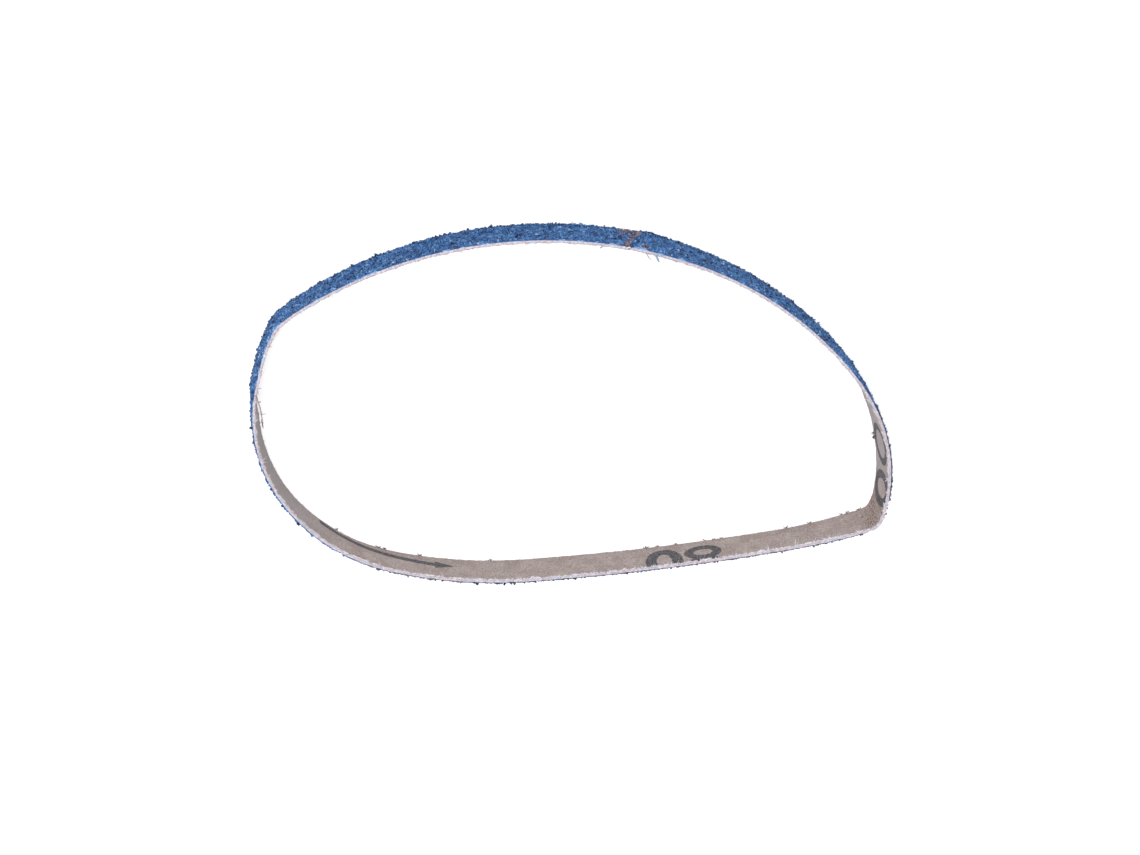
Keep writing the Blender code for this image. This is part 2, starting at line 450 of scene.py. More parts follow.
def face_material():
    """The cloth's inner face: stained tan resin over the weave, with specks, print and white edges."""
    look = Surface("cloth_face", 0.82, 0.25)
    along, up = look.strip_axes()
    turn = math.tau * MM / YARN_PITCH / 2
    weft = look.math("SINE", look.times(along, turn))
    warp = look.math("SINE", look.times(up, turn))
    crossing = look.times(weft, warp)
    crown = look.math("ABSOLUTE", crossing)

    stain = look.patchy(0.0035, 3.0, 0.35, 0.65)
    colour = look.mix(stain, shade(150, 138, 135), shade(167, 156, 153))
    grain = look.noise(0.00030, 2.0)
    colour = look.mix(look.between(grain, 0.50, 0.70), colour, shade(136, 116, 108))
    colour = look.mix(look.between(grain, 0.44, 0.30), colour, shade(188, 177, 174))
    yarn = look.times(look.between(crossing, 0.1, 0.8), 0.22)
    colour = look.mix(yarn, colour, shade(142, 130, 128))
    # Tinted greyer towards the round end and past the sharp crease.
    colour = look.mix(look.times(look.stored("grey_at_ends"), 0.6), colour, shade(152, 147, 151))
    colour = with_specks(look, colour, along)
    colour = with_print(look, colour)
    colour = with_bare_edges(look, colour, up)
    relief = look.math("ADD", look.times(crown, 0.45), grain)
    return look.finish(colour, relief, 0.00003)


def with_specks(look, colour, along):
    """Brown specks all over the inner face, and brown blots and rust inside the sharp crease."""
    speck = look.patchy(0.00022, 1.0, 0.69, 0.75)
    colour = look.mix(speck, colour, shade(92, 66, 56))
    crease = look.math("ABSOLUTE", look.math("SUBTRACT", along, SHARP_CREASE - 1.6))
    blots = look.patchy(0.00042, 2.0, 0.50, 0.62)
    browned = look.times(look.between(crease, 4.6, 1.0), blots)
    colour = look.mix(look.times(browned, 0.35), colour, shade(126, 98, 88))
    rust = look.times(look.between(crease, 5.0, 3.0), look.patchy(0.00032, 1.0, 0.58, 0.65))
    return look.mix(rust, colour, shade(88, 58, 46))


def with_print(look, colour):
    """Dark print, worn and ragged."""
    wear = look.patchy(0.00016, 2.0, 0.68, 0.56)
    ink = look.mix(look.patchy(0.0004, 2.0, 0.4, 0.6), shade(60, 61, 67), shade(86, 87, 93))
    ragged_ink = look.math("ADD", look.stored("ink"), look.times(look.noise(0.0003, 2.0), 0.5))
    inked = look.times(look.between(ragged_ink, 0.19, 0.33), wear)
    return look.mix(inked, colour, ink)


def with_bare_edges(look, colour, up):
    """White yarn along both cut edges, most along the upper one, and fainter along the foot as painted
    shade.
    """
    from_top = look.math("SUBTRACT", BELT_WIDTH / MM, up)
    ragged = look.times(look.math("SUBTRACT", look.noise(0.00045, 4.0), 0.5), 1.6)
    frayed = look.math("ADD", look.stored("fray"), ragged)
    bare_top = look.between(look.math("SUBTRACT", from_top, frayed), 0.12, -0.12)
    bare_foot = look.between(look.math("SUBTRACT", up, look.times(frayed, 0.35)), 0.10, -0.10)
    # Painted shade: the white at the foot is fainter.
    bare = look.math("MAXIMUM", bare_top, look.times(bare_foot, 0.7))
    thread = look.mix(look.patchy(0.0009, 2.0, 0.42, 0.60), shade(232, 226, 232), shade(206, 198, 208))
    return look.mix(bare, colour, thread)


def rim_material():
    """The cut edge: white cotton with pinkish and bluish resin between the yarns."""
    look = Surface("cut_edge", 0.9, 0.2)
    lumps = look.noise(0.00045, 3.0)
    colour = look.mix(look.between(lumps, 0.40, 0.62), shade(184, 174, 184), shade(213, 210, 219))
    pink = look.patchy(0.0008, 2.0, 0.50, 0.64)
    colour = look.mix(look.times(pink, 0.5), colour, shade(204, 178, 180))
    blue = look.patchy(0.0021, 3.0, 0.56, 0.66)
    colour = look.mix(look.times(blue, 0.5), colour, shade(176, 194, 216))
    dark = look.patchy(0.00020, 1.0, 0.62, 0.74)
    colour = look.mix(look.times(dark, 0.6), colour, shade(132, 116, 122))
    # Greyer along the rim's inner corner: partly the tan resin that wraps over it, partly painted shade.
    corner = look.times(look.stored("corner"), look.patchy(0.0006, 3.0, 0.38, 0.55))
    colour = look.mix(corner, colour, shade(134, 122, 124))
    return look.finish(colour, lumps, 0.00007)


def back_material():
    """The cloth under the coat, which the chips lay bare: white with a light blue film of resin."""
    look = Surface("cloth_back", 0.85, 0.25)
    film = look.patchy(0.0005, 3.0, 0.40, 0.58)
    colour = look.mix(film, shade(204, 208, 226), shade(112, 160, 210))
    return look.finish(colour, look.noise(0.0002, 2.0), 0.00004)


def fibre_material():
    """Loose cotton: nearly white, a little blue and a little pink."""
    look = Surface("cotton_fibre", 0.9, 0.2)
    tint = look.noise(0.0012, 2.0)
    colour = look.ramp(tint, (
        (0.30, shade(196, 206, 226)),
        (0.50, shade(228, 224, 230)),
        (0.70, shade(212, 192, 192)),
    ))
    return look.finish(colour, look.noise(0.0001, 1.0), 0.00001)


def yarn_material():
    """Loose yarn, from bluish white over pinkish grey to nearly black, by the shade of each."""
    look = Surface("loose_yarn", 0.9, 0.2)
    colour = look.ramp(look.stored("shade"), (
        (0.0, shade(226, 230, 240)),
        (0.30, shade(150, 172, 196)),
        (0.55, shade(196, 182, 184)),
        (0.70, shade(140, 128, 128)),
        (1.0, shade(58, 50, 52)),
    ))
    twist = look.noise(0.00012, 2.0)
    colour = look.mix(look.times(look.between(twist, 0.46, 0.60), 0.6), colour, shade(120, 116, 124))
    return look.finish(colour, twist, 0.00003)


def bed_material():
    """The resin between the grains: deep blue, partly as painted shade in the gaps, pale where the coat
    broke off, and painted dark along the far side's upper edge.
    """
    look = Surface("blue_resin", 0.55, 0.4)
    patches = look.noise(0.0005, 3.0)
    # Deep blue: partly the resin's own colour, partly painted shade in the gaps between the grains.
    colour = look.mix(look.between(patches, 0.35, 0.65), shade(40, 68, 116), shade(58, 98, 156))
    glue = look.between(look.stored("glue"), 0.2, 0.6)
    colour = look.mix(glue, colour, shade(82, 70, 84))
    pale = look.patchy(0.0004, 2.0, 0.45, 0.60)
    film = look.mix(pale, shade(92, 144, 202), shade(150, 184, 222))
    colour = look.mix(look.between(look.stored("chipped"), 0.35, 0.75), colour, film)
    # Painted shade: nearly black along the far side's upper edge.
    colour = look.mix(look.stored("painted_shade_far_edge"), colour, shade(30, 30, 38))
    colour = look.mix(look.between(look.stored("bare"), 0.3, 0.7), colour, shade(206, 206, 220))
    return look.finish(colour, look.noise(0.00012, 2.0), 0.00004)


def grain_material():
    """Sharp grains under blue resin, each of its own shade: a few are dark, white or glued brown."""
    look = Surface("blue_grain", 0.5, 0.35)
    # The stored shade includes painted shade at the foot and along the far side's upper edge, and painted
    # light in patches along the upper edge.
    own = look.stored("shade")
    colour = look.ramp(own, (
        (0.0, shade(28, 29, 36)),
        (0.14, shade(34, 52, 88)),
        (0.45, shade(62, 112, 168)),
        (0.78, shade(98, 146, 198)),
        (0.90, shade(146, 182, 224)),
        (0.97, shade(226, 230, 240)),
    ))
    film = look.times(look.patchy(0.00025, 2.0, 0.42, 0.62), look.between(own, 0.0, 0.2))
    colour = look.mix(look.times(film, 0.40), colour, shade(44, 78, 132))
    brown = look.ramp(own, (
        (0.0, shade(34, 32, 46)),
        (0.4, shade(94, 84, 100)),
        (0.9, shade(160, 148, 166)),
    ))
    colour = look.mix(look.between(look.stored("glue"), 0.35, 0.65), colour, brown)
    return look.finish(colour, look.noise(0.00007, 2.0), 0.00001)


def adhesive_material(rim, spot):
    """Hard brown adhesive, pinkish where it joins the cut edge, with a drop of blue resin there."""
    look = Surface("seam_adhesive", 0.5, 0.45)
    lumps = look.noise(0.0004, 3.0)
    colour = look.ramp(lumps, (
        (0.32, shade(34, 29, 38)),
        (0.46, shade(70, 56, 66)),
        (0.60, shade(104, 86, 98)),
        (0.72, shade(142, 126, 138)),
    ))
    cotton = look.mix(look.between(lumps, 0.40, 0.60), shade(196, 180, 186), shade(232, 226, 232))
    colour = look.mix(look.near(rim, 0.00042, 0.00055), colour, cotton)
    colour = look.mix(look.near(spot, 0.00014, 0.00026), colour, shade(72, 122, 184))
    return look.finish(colour, look.noise(0.00015, 3.0), 0.00005)


def ring_depth(travel, height, ring):
    """How far inside a printed ring each point lies, in millimetres, below 0 outside it."""
    centre, middle, half_width, half_height, stroke = ring
    x = travel - centre
    y = height - middle
    wide = half_width - stroke / 2
    tall = half_height - stroke / 2
    radius = np.hypot(x / wide, y / tall) + 1e-9
    slope = np.hypot(x / wide ** 2, y / tall ** 2) / radius + 1e-9
    return stroke / 2 - np.abs(radius - 1) / slope


def line_depth(travel, height, start, end, stroke):
    """How far inside a printed line each point lies, in millimetres."""
    run = np.subtract(end, start)
    share = ((travel - start[0]) * run[0] + (height - start[1]) * run[1]) / (run @ run)
    share = np.clip(share, 0, 1)
    return stroke / 2 - np.hypot(travel - start[0] - share * run[0], height - start[1] - share * run[1])


def head_depth(travel, height):
    """How far inside the arrow's head each point lies, in millimetres."""
    foot, tip, half_width = ARROW_HEAD
    middle = ARROW[1][1]
    taper = half_width * (tip - travel) / (tip - foot) - np.abs(height - middle)
    return np.minimum(taper, travel - foot)


def ink_depth(travel, height):
    """How far inside the print each point of the inner face lies, from -1 to 1 mm."""
    depths = [ring_depth(travel, height, ring) for ring in RINGS]
    depths.append(line_depth(travel, height, ARROW[0], ARROW[1], ARROW_STROKE))
    depths.append(head_depth(travel, height))
    return np.clip(np.max(depths, axis=0), -1, 1)


def end_grey_share(travel):
    """How far the inner face is tinted grey: most at the round end and past the sharp crease."""
    place = travel / MM
    return np.maximum(smooth_step((134 - place) / 26), smooth_step((place - 244) / 12))


def fray_depth(random, travel):
    """How many millimetres of white yarn show past the cut edge at each travel."""
    level = np.zeros_like(travel)
    wide = np.clip(Lumps(random, 0.0011)(travel, level) + 0.15, 0, 1)
    narrow = np.clip(Lumps(random, 0.0005)(travel, level), 0, 1)
    return 0.20 + 0.9 * wide ** 1.5 + 0.7 * narrow ** 1.5


def add_cloth(loop, random):
    """The cloth strip: a slightly uneven inner face and ragged cut edges."""
    rows = round(BELT_WIDTH / CLOTH_STEP) + 1
    inner = np.linspace(0, BELT_WIDTH, rows)
    across = np.linspace(0, CLOTH_THICKNESS, RIM_POINTS + 2)[1:-1]
    outer = np.linspace(BELT_WIDTH, 0, OUTER_ROWS)
    heights = np.concatenate([inner, np.full(RIM_POINTS, BELT_WIDTH), outer, np.zeros(RIM_POINTS)])
    offsets = np.concatenate([np.zeros(rows), across, np.full(OUTER_ROWS, CLOTH_THICKNESS), across[::-1]])
    stations = strip_travels(CLOTH_STEP)[:, None]
    travel, height, offset = np.broadcast_arrays(stations, heights, offsets)

    on_face = offset == 0
    coarse = Lumps(random, 0.0016)
    fine = Lumps(random, 0.0006)
    offset = offset + on_face * FACE_UNEVENNESS * (coarse(travel, height) + 0.6 * fine(travel, height))
    yarns = Lumps(random, 0.00045)
    torn = RIM_ROUGHNESS * (0.6 * random.uniform(-1, 1, height.shape) + yarns(travel, offset * 4))
    at_top = height == BELT_WIDTH
    at_foot = height == 0
    moved = height + at_top * torn + at_foot * np.abs(torn)
    frayed = (at_top | at_foot) * 0.00004 * random.uniform(-1, 1, height.shape)
    points = loop.place(slanted(travel, height), moved, offset + frayed)

    faces = tube_faces(len(travel), len(heights))
    materials = [face_material(), rim_material(), back_material()]
    piece = add_piece("cloth", points.reshape(-1, 3), faces, materials, ["cloth_backing"])
    keep_strip_map(piece, travel, height)
    keep_values(piece, "ink", np.where(on_face, ink_depth(travel / MM, height / MM), -1.0))
    keep_values(piece, "grey_at_ends", end_grey_share(travel))
    keep_values(piece, "corner", on_face & (at_top | at_foot))
    keep_values(piece, "fray", fray_depth(random, travel))
    slots = np.repeat([0, 1, 2, 1], [rows - 1, RIM_POINTS + 1, OUTER_ROWS - 1, RIM_POINTS + 1])
    slots = np.concatenate([np.tile(slots, len(travel) - 1), [1, 1]]).astype(np.int32)
    piece.data.polygons.foreach_set("material_index", slots)
    piece.data.shade_smooth()


class Wear:
    """Where the coat is chipped, broken off or glued over, alike for its resin and its grains."""

    def __init__(self, random):
        self.fine = Lumps(random, 0.0005)
        self.ragged = Lumps(random, 0.0007)
        self.broad = Lumps(random, 0.0012)

    def flaked(self, travel, height):
        """1 where the coat broke off at the sharp crease, in ragged patches."""
        from_crease = np.abs(travel / MM - FLAKED_MIDDLE)
        reach = FLAKED_FOOT + (FLAKED_TOP - FLAKED_FOOT) * (height / BELT_WIDTH) ** 3
        reach += 1.1 * self.ragged(travel, height)
        return np.clip((reach - from_crease) * 3 + 0.5, 0, 1)

    def recess(self, travel):
        """How far the grains stop short of the upper edge, where the coat is chipped."""
        level = np.zeros_like(travel)
        ragged = 0.00026 * np.clip(self.broad(travel, level), 0, 1) + 0.00006 * self.fine(travel, level)
        depth = 0.00006 + ragged * (1 - 0.7 * far_side(travel))
        for place, length, chip in EDGE_CHIPS:
            share = smooth_step(2 - 2 * np.abs(travel / MM - place) / length)
            depth = np.maximum(depth, chip * MM * share)
        return depth

    def chipped(self, travel, height):
        """1 where the grains are gone along the upper edge."""
        bare = height - (BELT_WIDTH - self.recess(travel) * (1 + 0.3 * self.ragged(travel, height)))
        return np.clip(bare / 0.0001 + 0.5, 0, 1)

    def glued(self, travel, height):
        """1 in the brown patches by the seam."""
        across = from_seam(travel)
        ragged = 0.6 * self.fine(travel, height)
        share = np.zeros(np.shape(travel))
        for place, middle, radius in GLUE_PATCHES:
            away = np.hypot(across - place, height / MM - middle)
            patch = np.clip((1.25 * radius - away) * 1.6 + 0.5 + ragged, 0, 1)
            share = np.maximum(share, patch * (away < 2 * radius))
        return share


def far_side(travel):
    """1 on the side across from the seam, where the coat's upper edge is painted dark, as shade."""
    place = travel / MM
    return smooth_step((place - 128) / 10) * smooth_step((276 - place) / 10)


def from_seam(travel):
    """Millimetres of travel past the seam, below 0 before it."""
    return np.where(travel > BELT_LENGTH / 2, travel - BELT_LENGTH, travel) / MM


def add_resin_bed(loop, random, wear):
    """The coat's resin layer, in which the grains stand."""
    travel = strip_travels(BED_STEP)[:, None]
    high = BELT_WIDTH - BED_INSET - 0.5 * wear.recess(travel)
    low = BED_INSET + 0.00006 * np.abs(wear.fine(travel, np.zeros_like(travel)))
    up = np.concatenate([[0], np.linspace(0, 1, BED_ROWS), [1]])
    height = low + (high - low) * up
    travel = travel + np.zeros_like(height)
    outside = np.ones(len(up))
    outside[[0, -1]] = 0
    rise = BED_RISE + 0.00006 * Lumps(random, 0.0006)(travel, height)
    flaked = wear.flaked(travel, height)
    chipped = wear.chipped(travel, height)
    rise = rise * (1 - 0.88 * flaked) * (1 - 0.6 * chipped)
    points = loop.place(slanted(travel, height), height, COAT_FOOT + outside * rise)
    faces = tube_faces(len(travel), len(up))
    points = points.reshape(-1, 3)
    piece = add_piece("resin_bed", points, faces, [bed_material()], ["abrasive_coat"])
    keep_values(piece, "bare", flaked)
    # On the far side the chips' pale film is held back, under the painted shade there.
    keep_values(piece, "chipped", chipped * (1 - 0.8 * far_side(travel)))
    keep_values(piece, "painted_shade_far_edge", far_side(travel) * np.exp((height - BELT_WIDTH) / 0.0005))
    keep_values(piece, "glue", wear.glued(travel, height))
    piece.data.shade_smooth()


# A grain has six corners and eight facets: a double pyramid, or a wedge
PYRAMID = np.array([(1, 0, 0), (0, 1, 0), (-1, 0, 0), (0, -1, 0), (0, 0, 1), (0, 0, -1)], dtype=float)
PYRAMID_FACES = np.array([
    (0, 1, 4), (1, 2, 4), (2, 3, 4), (3, 0, 4), (1, 0, 5), (2, 1, 5), (3, 2, 5), (0, 3, 5),
])
WEDGE = np.array([
    (0.9, 0, -0.8), (-0.5, 0.8, -0.8), (-0.5, -0.8, -0.8),
    (0.9, 0, 0.8), (-0.5, 0.8, 0.8), (-0.5, -0.8, 0.8),
])
WEDGE_FACES = np.array([
    (0, 2, 1), (3, 4, 5), (0, 1, 4), (0, 4, 3), (1, 2, 5), (1, 5, 4), (2, 0, 3), (2, 3, 5),
])


def random_turns(random, count):
    """Rotation matrices, evenly spread over all directions."""
    quaternions = random.normal(size=(4, count))
    w, x, y, z = quaternions / np.linalg.norm(quaternions, axis=0)
    return np.stack([
        np.stack([1 - 2 * (y * y + z * z), 2 * (x * y - z * w), 2 * (x * z + y * w)], axis=-1),
        np.stack([2 * (x * y + z * w), 1 - 2 * (x * x + z * z), 2 * (y * z - x * w)], axis=-1),
        np.stack([2 * (x * z - y * w), 2 * (y * z + x * w), 1 - 2 * (x * x + y * y)], axis=-1),
    ], axis=1)


def grain_mesh(random, centres, radii):
    """Corners and facets of a grain at each centre."""
    count = len(centres)
    is_wedge = (random.random(count) < 0.5)[:, None, None]
    corners = np.where(is_wedge, WEDGE, PYRAMID)
    corners = corners * random.uniform(0.62, 1.30, (count, 1, 3))
    corners = corners * random.uniform(0.8, 1.2, (count, 6, 1)) * radii[:, None, None]
    points = centres[:, None, :] + corners @ random_turns(random, count).transpose(0, 2, 1)
    first = 6 * np.arange(count)[:, None, None]
    faces = np.where(is_wedge, WEDGE_FACES, PYRAMID_FACES) + first
    return points.reshape(-1, 3), faces.reshape(-1, 3).tolist()


def grain_places(random):
    """An uneven scatter of grains: the travel and height of each, and how far it stands out."""
    columns = round(BELT_LENGTH / GRAIN_PITCH)
    rows = round((BELT_WIDTH - 2 * GRAIN_INSET) / GRAIN_PITCH)
    column, row = np.meshgrid(np.arange(columns), np.arange(rows), indexing="ij")
    travel = (column + 0.5 + random.uniform(-0.55, 0.55, column.shape)) * GRAIN_PITCH
    height = GRAIN_INSET + (row + 0.5 + random.uniform(-0.55, 0.55, row.shape)) * GRAIN_PITCH
    travel, height = travel.ravel(), height.ravel()
    stand = 0.00012 * Lumps(random, 0.0006)(travel, height) + 0.00006 * random.normal(size=travel.shape)
    return travel, height, np.clip(stand, -0.00013, 0.00022)


def grain_radii(random, travel, height, stand):
    """The radius of each grain. Larger ones, many of them along the edges, are raised here too."""
    count = len(travel)
    radii = GRAIN_RADIUS * np.clip(random.lognormal(0.0, 0.28, count), 0.6, 1.8)
    near_edge = np.exp(-np.minimum(height, BELT_WIDTH - height) / 0.0004)
    by_top = np.exp((height - BELT_WIDTH) / 0.001)
    smooth_stretch = smooth_step((travel / MM - 160) / 8) * far_side(travel)
    kinds = (  # share of the grains, how much larger, how much further out
        (0.08, 1.5, 0.00006),
        ((0.36 - 0.26 * smooth_stretch) * near_edge, 1.35, 0.00008),
        (0.030 * (1 - smooth_stretch * by_top), 1.6, 0.00016),
    )
    for share, growth, rise in kinds:
        chosen = random.random(count) < share
        radii[chosen] *= growth
        stand[chosen] += rise
    return np.minimum(radii, GRAIN_LARGEST)


def grain_shades(random, travel, height, stand, chipped):
    """How light each grain is, from 0 to 1: dark at the tips, darker at the foot and along the far side's
    upper edge as painted shade, light beside the chips, and lighter in patches along the upper edge,
    partly chipped coat and partly painted light.
    """
    count = len(travel)
    own = random.normal(0.50, 0.14, count) + 0.26 * Lumps(random, 0.0007)(travel, height)
    own -= 1300 * np.clip(stand - 0.00007, 0, 0.00016)
    # Painted shade: grains darker towards the foot.
    own -= 0.42 * np.exp(-height / 0.0007)
    far = far_side(travel)
    by_edge = np.exp((height - BELT_WIDTH) / 0.0006)
    # Along the upper edge: lighter in patches, partly chipped coat and partly painted light from above;
    # on the far side darker instead, as painted shade.
    pale = smooth_step(2.2 * Lumps(random, 0.0011)(travel, 0 * height) - 0.3)
    own += (0.60 * pale * (1 - 0.7 * far) - 0.75 * far) * by_edge
    own = np.clip(own, 0.12 * (1 - far * by_edge), 0.88)
    own[random.random(count) < 0.02] = 0.04
    lightened = random.random(count) < 0.8 * chipped * (1 - far) + 0.02
    own[lightened] = random.uniform(0.80, 0.96, lightened.sum())
    return own


def glued_shades(random, travel, height, own, glue):
    """The shades again, with those in the brown patches and the black speck changed."""
    own = np.where(glue > 0.5, np.maximum(own, random.normal(0.42, 0.28, len(own))), own)
    place, middle, radius = DARK_SPOT
    own[np.hypot(from_seam(travel) - place, height / MM - middle) < radius] = 0.0
    return np.clip(own, 0, 1)


def grain_is_kept(random, travel, height, wear, chipped):
    """False where the coat lost its grains: flaked, chipped or cracked, and in half of the seam."""
    count = len(travel)
    cracked = (np.abs(travel / MM - CRACK - 0.3 * np.sin(height / MM)) < 0.10) & (height < 0.006)
    kept = (wear.flaked(travel, height) < 0.5) & ~cracked & (chipped < 0.6)
    kept |= (np.abs(travel / MM - FLAKED_MIDDLE) < FLAKED_TOP + 1) & (random.random(count) < 0.04)
    in_seam = np.abs(from_seam(travel)) < SEAM_WIDTH / 2 / MM
    return kept & ~(in_seam & (random.random(count) < 0.4))


def add_grains(loop, random, wear):
    """The grains, in two pieces of half the belt each, so that neither is too large a mesh."""
    travel, height, stand = grain_places(random)
    chipped = wear.chipped(travel, height)
    glue = wear.glued(travel, height)
    radii = grain_radii(random, travel, height, stand)
    stand[wear.flaked(travel, height) > 0.3] = FLAKED_STAND
    own = grain_shades(random, travel, height, stand, chipped)
    own = glued_shades(random, travel, height, own, glue)
    kept = grain_is_kept(random, travel, height, wear, chipped)
    for place, middle in STRAY_GRAINS:
        nearest = np.argmin(np.hypot(travel / MM - place, height / MM - middle))
        kept[nearest] = True
        own[nearest] = 0.05
        radii[nearest] = STRAY_RADIUS
    offset = COAT_FOOT + GRAIN_RISE + stand
    first_half = travel < BELT_LENGTH / 2
    material = grain_material()
    for name, side in (("grains_first_half", first_half), ("grains_second_half", ~first_half)):
        chosen = kept & side
        centres = loop.place(slanted(travel[chosen], height[chosen]), height[chosen], offset[chosen])
        points, faces = grain_mesh(random, centres, radii[chosen])
        points[:, 2] = np.clip(points[:, 2], 0.00003, BELT_WIDTH + 0.00006)
        piece = add_piece(name, points, faces, [material], ["abrasive_coat"])
        keep_values(piece, "shade", np.repeat(own[chosen], 6))
        keep_values(piece, "glue", np.repeat(glue[chosen], 6))


def strand_mesh(random, paths, radii, sides):
    """Corners and faces of thin tubes along these paths, closed at their ends."""
    count, knots, _ = paths.shape
    along = np.gradient(paths, axis=1)
    along /= np.linalg.norm(along, axis=2, keepdims=True) + 1e-12
    start = random.normal(size=(count, 1, 3))
    side = np.cross(along, start)
    side /= np.linalg.norm(side, axis=2, keepdims=True) + 1e-12
    other = np.cross(along, side)
    angle = np.arange(sides) * math.tau / sides
    ring = np.cos(angle)[:, None] * side[:, :, None, :] + np.sin(angle)[:, None] * other[:, :, None, :]
    points = paths[:, :, None, :] + ring * radii[:, :, None, None]
    points[..., 2] = np.maximum(points[..., 2], 0.00001)
    size = knots * sides
    faces = []
    for strand in range(count):
        first = strand * size
        for knot in range(knots - 1):
            low = first + knot * sides
            for i in range(sides):
                j = (i + 1) % sides
                faces.append((low + i, low + j, low + sides + j, low + sides + i))
        faces.append(tuple(range(first + sides - 1, first - 1, -1)))
        faces.append(tuple(range(first + size - sides, first + size)))
    return points.reshape(-1, 3), faces


def edge_strands(loop, random, count, length, spread, upper):
    """Paths of loose ends that stand out of a cut edge: along, up and out from where each one starts."""
    travel = random.uniform(SEAM_WIDTH, BELT_LENGTH - SEAM_WIDTH, count)
    offset = random.uniform(0.00002, CLOTH_THICKNESS - 0.00002, count)
    reach = length * np.minimum(random.lognormal(0.0, 0.45, count), 2.4)
    lean = random.normal(size=(count, 3)) * spread
    lean[:, 1] = np.abs(lean[:, 1]) + 0.15
    lean /= np.linalg.norm(lean, axis=1)[:, None]
    curl = random.normal(size=(count, 3)) * 0.45
    share = np.linspace(0, 1, 4)[None, :, None]
    step = reach[:, None, None] * (lean[:, None, :] * share + curl[:, None, :] * share ** 2)
    if upper:
        height = BELT_WIDTH - 0.00005 + step[:, :, 1]
        out = offset[:, None] + step[:, :, 2]
    else:
        height = 0.00006 + 0.25 * np.abs(step[:, :, 1])
        out = 0.6 * offset[:, None] - np.abs(step[:, :, 2])
    return loop.place(travel[:, None] + step[:, :, 0], height, out)


def add_strands(name, random, paths, radii, sides, material):
    """One piece of thin tubes along these paths."""
    points, faces = strand_mesh(random, paths, radii, sides)
    piece = add_piece(name, points, faces, [material])
    piece.data.shade_smooth()
    return piece


def add_edge_ends(loop, random, name, ends, material):
    """Loose ends along both edges, twice as many of them along the upper one."""
    spacing, lengths, spreads, thickness, taper, sides = ends
    count = round(BELT_LENGTH / spacing)
    paths = np.concatenate([
        edge_strands(loop, random, 2 * count, lengths[0], spreads[0], True),
        edge_strands(loop, random, count, lengths[1], spreads[1], False),
    ])
    radii = random.uniform(*thickness, (len(paths), 1)) * np.array(taper)
    add_strands(name, random, paths, radii, sides, material)


def add_fringe(loop, random):
    """White ends of yarn that lean inwards over the upper edge of the inner face, in tufts."""
    tufts = round(BELT_LENGTH / FRINGE_SPACING)
    count = tufts * TUFT_YARNS
    middle = random.uniform(SEAM_WIDTH, BELT_LENGTH - SEAM_WIDTH, tufts)
    size = random.lognormal(0.0, 0.45, tufts)
    start = np.repeat(middle, TUFT_YARNS) + random.normal(0, 0.00012, count)
    reach = FRINGE_LENGTH * np.repeat(size, TUFT_YARNS) * random.uniform(0.5, 1.3, count)
    share = np.array([0.0, 0.35, 0.7, 1.0])
    travel = start[:, None] + reach[:, None] * share * random.normal(0, 0.5, (count, 1))
    inwards = 0.00002 + reach[:, None] * share * random.uniform(0.2, 0.9, (count, 1))
    droop = reach[:, None] * share ** 2 * random.uniform(-0.5, 1.6, (count, 1))
    paths = loop.place(travel, BELT_WIDTH - 0.00006 - droop, -inwards)
    radii = random.uniform(*FRINGE_THICKNESS, (count, 1)) * np.array([1.0, 1.0, 0.8, 0.4])
    add_strands("fringe", random, paths, radii, 4, fibre_material())


def smooth_path(points):
    """An even row of points on a rounded line through a few."""
    given = np.arange(len(points))
    knots = np.linspace(0, len(points) - 1, YARN_KNOTS)
    path = np.stack([np.interp(knots, given, column) for column in np.array(points).T], axis=1)
    for _ in range(2):
        path[1:-1] = (path[:-2] + 2 * path[1:-1] + path[2:]) / 4
    return path


def yarn_hairs(loop, random, taper):
    """Path, radii and shades of each hair of the single yarns that came loose."""
    hairs = []
    for thickness, tone, points in LOOSE_YARNS:
        travel, inwards, height = smooth_path(points).T * MM
        line = loop.place(travel, height, -inwards)
        for _ in range(YARN_HAIRS):
            aside = random.normal(0, 0.14 * thickness, 3) * MM
            path = line + aside * np.linspace(0.6, 1.3, YARN_KNOTS)[:, None]
            radii = 0.33 * thickness * MM * taper * random.uniform(0.8, 1.1, YARN_KNOTS)
            shades = np.clip(tone + random.normal(0, 0.05, YARN_KNOTS), 0, 1)
            hairs.append((path, radii, shades))
    return hairs


def foot_tuft_hairs(loop, random, taper):
    """Path, radii and shades of each hair of the small tufts at the foot."""
    run = np.linspace(0, 1, YARN_KNOTS)
    hairs = []
    for travel in np.repeat(FOOT_TUFTS, FOOT_TUFT_HAIRS):
        length = random.uniform(0.3, 0.8)
        start = travel + random.normal(0, 0.15)
        along = start + run * length * random.normal(0, 0.6) + 0.1 * run ** 2 * random.normal()
        inwards = run * length * random.uniform(0.4, 1.0) - 0.03
        height = 0.10 + run * length * random.uniform(0.0, 0.3)
        path = loop.place(along * MM, height * MM, -inwards * MM)
        radii = random.uniform(0.035, 0.085) * MM * taper
        shades = np.full(YARN_KNOTS, random.uniform(0.70, 1.0))
        hairs.append((path, radii, shades))
    return hairs


def add_loose_yarns(loop, random):
    """The single yarns that came loose, each bent as it hangs, and the tufts at the foot."""
    taper = np.interp(np.linspace(0, 1, YARN_KNOTS), (0, 0.6, 1), (1, 0.85, 0.35))
    hairs = yarn_hairs(loop, random, taper) + foot_tuft_hairs(loop, random, taper)
    paths, radii, shades = (np.array(column) for column in zip(*hairs))
    paths[:, :, 2] = np.maximum(paths[:, :, 2], 0.00006)
    piece = add_strands("loose_yarns", random, paths, radii, YARN_SIDES, yarn_material())
    keep_values(piece, "shade", np.repeat(shades.ravel(), YARN_SIDES))


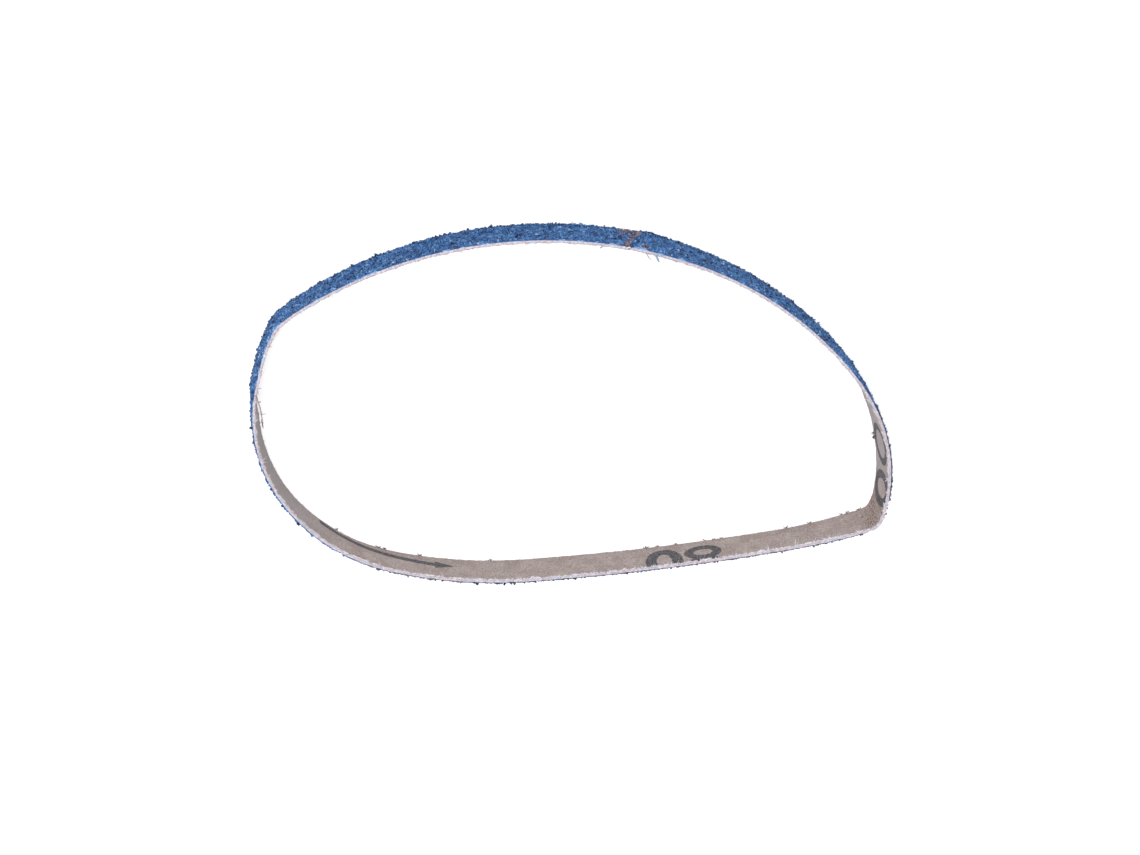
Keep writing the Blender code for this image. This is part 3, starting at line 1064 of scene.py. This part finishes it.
def add_seam(loop, random):
    """The adhesive in the seam: it fills the cut and spills unevenly over the coat."""
    heights = np.linspace(0.00004, BELT_WIDTH - 0.00002, SEAM_ROWS)[:, None]
    side = np.ones_like(heights)
    half = SEAM_WIDTH / 2 - SEAM_GAP
    inner = np.linspace(half, -half, 6)
    outer = np.linspace(-1, 1, 11)
    spill = SPILL[0] + SPILL[1] * Lumps(random, 0.0011)(np.zeros_like(heights), heights)
    spilled = outer * (half + spill)
    lumps = Lumps(random, 0.0005)(spilled + 0.01, heights + np.zeros_like(outer))
    proud = COAT_FOOT + 0.00010 + (1 - outer ** 4) * (0.00010 + 0.00009 * lumps)
    foot = COAT_FOOT * side
    travel = np.concatenate([inner * side, -half * side, spilled, half * side], axis=1)
    offset = np.concatenate([np.zeros_like(inner) * side, foot, proud, foot], axis=1)
    height = heights + np.zeros_like(travel)
    points = loop.place(slanted(travel, height), height, offset).reshape(-1, 3)
    faces = tube_faces(len(heights), travel.shape[1])
    top = slanted(np.zeros(1), np.full(1, BELT_WIDTH))
    rim = loop.place(top, BELT_WIDTH, 0.00018)[0]
    spot = loop.place(top, BELT_WIDTH, 0.00022)[0]
    material = adhesive_material(rim, spot)
    piece = add_piece("seam_adhesive", points, faces, [material], ["splice_seam"])
    piece.data.shade_smooth()


def build_belt():
    """Every piece of the belt."""
    loop = Loop()
    random = np.random.default_rng(SEED)
    wear = Wear(random)
    add_cloth(loop, random)
    add_resin_bed(loop, random, wear)
    add_grains(loop, random, wear)
    add_seam(loop, random)
    add_edge_ends(loop, random, "yarn_stubs", STUBS, rim_material())
    add_edge_ends(loop, random, "edge_fibres", FIBRES, fibre_material())
    add_fringe(loop, random)
    add_loose_yarns(loop, random)


def add_camera():
    """The photograph's view of the belt."""
    elevation = math.radians(CAMERA_ELEVATION)
    back = Vector((0.0, -math.cos(elevation), math.sin(elevation)))
    right = Vector((1.0, 0.0, 0.0))
    up = back.cross(right)
    axes = Matrix((right, up, back)).transposed()
    turn = axes @ Matrix.Rotation(math.radians(CAMERA_ROLL), 3, "Z")
    data = bpy.data.cameras.new("camera")
    data.lens = CAMERA_LENS
    data.sensor_width = CAMERA_SENSOR
    data.clip_start = CAMERA_NEAREST
    camera = bpy.data.objects.new("camera", data)
    place = CAMERA_TARGET + back * CAMERA_DISTANCE
    camera.matrix_world = Matrix.LocRotScale(place, turn.to_quaternion(), None)
    bpy.context.scene.collection.objects.link(camera)
    bpy.context.scene.camera = camera


def add_floor():
    """A white floor, which the camera sees as white apart from the belt's shadow."""
    corners = [(x * FLOOR_REACH, y * FLOOR_REACH, 0) for x, y in ((-1, -1), (1, -1), (1, 1), (-1, 1))]
    mesh = bpy.data.meshes.new("floor")
    mesh.from_pydata(corners, [], [(0, 1, 2, 3)])
    floor = bpy.data.objects.new("floor", mesh)
    floor.location.z = -FLOOR_DROP
    bpy.context.scene.collection.objects.link(floor)
    look = Surface("floor", 0.9, 0.0)
    paper = look.mix(look.noise(0.02, 2.0), (0.80, 0.80, 0.80, 1.0), (0.83, 0.83, 0.83, 1.0))
    look.finish(paper)
    path = look.nodes.new("ShaderNodeLightPath").outputs
    seen = look.math("MAXIMUM", path["Is Camera Ray"], path["Is Glossy Ray"])
    look.shader.inputs["Emission Color"].default_value = (1.0, 1.0, 1.0, 1.0)
    look.links.new(look.times(seen, FLOOR_GLOW), look.shader.inputs["Emission Strength"])
    mesh.materials.append(look.material)


def add_lamp(name, place, size, power):
    """A soft square lamp that points at the belt."""
    data = bpy.data.lights.new(name, "AREA")
    data.size = size
    data.energy = power
    lamp = bpy.data.objects.new(name, data)
    lamp.location = place
    lamp.rotation_euler = (-Vector(place)).to_track_quat("-Z", "Y").to_euler()
    bpy.context.scene.collection.objects.link(lamp)


def add_light():
    """Even light from all round, with a soft lamp above each side."""
    world = bpy.data.worlds.new("studio")
    world.use_nodes = True
    sky = world.node_tree.nodes["Background"].inputs
    sky["Color"].default_value = (1.0, 1.0, 1.0, 1.0)
    sky["Strength"].default_value = SKY_STRENGTH
    bpy.context.scene.world = world
    for name, place, size, power in LAMPS:
        add_lamp(name, place, size, power)


bpy.context.scene.view_settings.view_transform = "Standard"
add_camera()
build_belt()
add_floor()
add_light()
